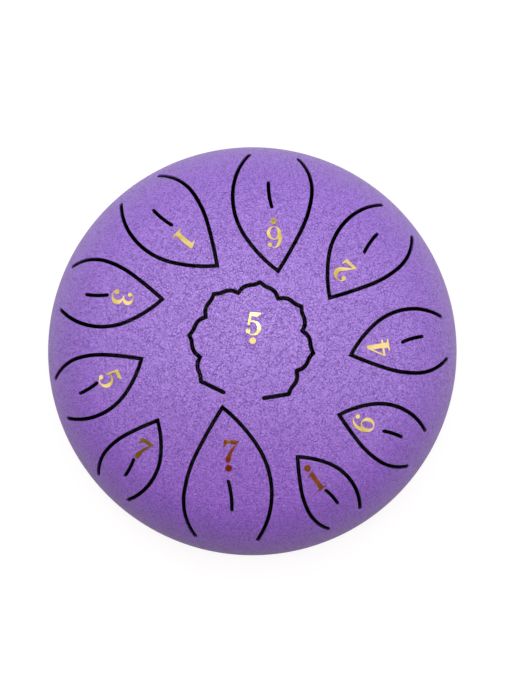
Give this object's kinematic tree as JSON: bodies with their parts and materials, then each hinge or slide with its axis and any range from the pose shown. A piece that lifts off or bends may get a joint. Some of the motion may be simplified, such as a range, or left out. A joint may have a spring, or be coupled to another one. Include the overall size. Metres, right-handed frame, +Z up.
{
  "type": "steel tongue drum",
  "caption": "Small round steel tongue drum of pressed bowls, with leaf-shaped spring tongues round a lotus tongue, foil tone numbers, a sound hole below and rubber feet.",
  "frame": {"origin": "middle of the drum at the level its feet stand on", "axes": "+Z up along the drum's axis, +Y from the root of the lotus tongue to its top petal"},
  "size_m": [0.154, 0.154, 0.0859],
  "materials": {
    "purple_paint": "satin lacquer with a fine crackle",
    "gold_foil": "mirror foil",
    "seam_sealant": "matt",
    "black_rubber": "matt"
  },
  "bodies": {
    "shell": {"upper_shell": "purple_paint", "lower_shell": "purple_paint", "seam_ring": "seam_sealant", "foot_front_right": "black_rubber", "foot_back_right": "black_rubber", "foot_back_left": "black_rubber", "foot_front_left": "black_rubber"},
    "tongue_low_5": {"tongue_low_5": "purple_paint", "number_low_5": "gold_foil"},
    "tongue_low_6": {"tongue_low_6": "purple_paint", "number_low_6": "gold_foil"},
    "tongue_low_7": {"tongue_low_7": "purple_paint", "number_low_7": "gold_foil"},
    "tongue_1": {"tongue_1": "purple_paint", "number_1": "gold_foil"},
    "tongue_2": {"tongue_2": "purple_paint", "number_2": "gold_foil"},
    "tongue_3": {"tongue_3": "purple_paint", "number_3": "gold_foil"},
    "tongue_4": {"tongue_4": "purple_paint", "number_4": "gold_foil"},
    "tongue_5": {"tongue_5": "purple_paint", "number_5": "gold_foil"},
    "tongue_6": {"tongue_6": "purple_paint", "number_6": "gold_foil"},
    "tongue_7": {"tongue_7": "purple_paint", "number_7": "gold_foil"},
    "tongue_high_1": {"tongue_high_1": "purple_paint", "number_high_1": "gold_foil"}
  },
  "joints": [
    {"name": "bend_low_5", "type": "hinge", "parent": "shell", "child": "tongue_low_5", "pos_m": [0, -0.01935, 0.0839], "axis": [-1, 0, 0], "range_deg": [-0.5, 0.5], "stiffness_Nm_per_rad": 60},
    {"name": "bend_low_6", "type": "hinge", "parent": "shell", "child": "tongue_low_6", "pos_m": [-0.00201, 0.07149, 0.06359], "axis": [0.9985, 0.0556, 0], "range_deg": [-0.5, 0.5], "stiffness_Nm_per_rad": 60},
    {"name": "bend_low_7", "type": "hinge", "parent": "shell", "child": "tongue_low_7", "pos_m": [0.0008, -0.07064, 0.06485], "axis": [-0.9962, -0.0876, 0], "range_deg": [-0.5, 0.5], "stiffness_Nm_per_rad": 60},
    {"name": "bend_1", "type": "hinge", "parent": "shell", "child": "tongue_1", "pos_m": [-0.04956, 0.05225, 0.0628], "axis": [0.6871, 0.7265, 0], "range_deg": [-0.5, 0.5], "stiffness_Nm_per_rad": 60},
    {"name": "bend_2", "type": "hinge", "parent": "shell", "child": "tongue_2", "pos_m": [0.04652, 0.05422, 0.0637], "axis": [0.7858, -0.6185, 0], "range_deg": [-0.5, 0.5], "stiffness_Nm_per_rad": 60},
    {"name": "bend_3", "type": "hinge", "parent": "shell", "child": "tongue_3", "pos_m": [-0.07108, 0.01214, 0.06263], "axis": [0.1023, 0.9948, 0], "range_deg": [-0.5, 0.5], "stiffness_Nm_per_rad": 60},
    {"name": "bend_4", "type": "hinge", "parent": "shell", "child": "tongue_4", "pos_m": [0.06961, 0.01364, 0.06444], "axis": [0.2851, -0.9585, 0], "range_deg": [-0.5, 0.5], "stiffness_Nm_per_rad": 60},
    {"name": "bend_5", "type": "hinge", "parent": "shell", "child": "tongue_5", "pos_m": [-0.06695, -0.02848, 0.0615], "axis": [-0.4435, 0.8963, 0], "range_deg": [-0.5, 0.5], "stiffness_Nm_per_rad": 60},
    {"name": "bend_6", "type": "hinge", "parent": "shell", "child": "tongue_6", "pos_m": [0.0651, -0.02825, 0.06441], "axis": [-0.3161, -0.9487, 0], "range_deg": [-0.5, 0.5], "stiffness_Nm_per_rad": 60},
    {"name": "bend_7", "type": "hinge", "parent": "shell", "child": "tongue_7", "pos_m": [-0.04321, -0.05819, 0.062], "axis": [-0.8469, 0.5318, 0], "range_deg": [-0.5, 0.5], "stiffness_Nm_per_rad": 60},
    {"name": "bend_high_1", "type": "hinge", "parent": "shell", "child": "tongue_high_1", "pos_m": [0.04258, -0.05742, 0.06363], "axis": [-0.7424, -0.6699, 0], "range_deg": [-0.5, 0.5], "stiffness_Nm_per_rad": 60}
  ]
}
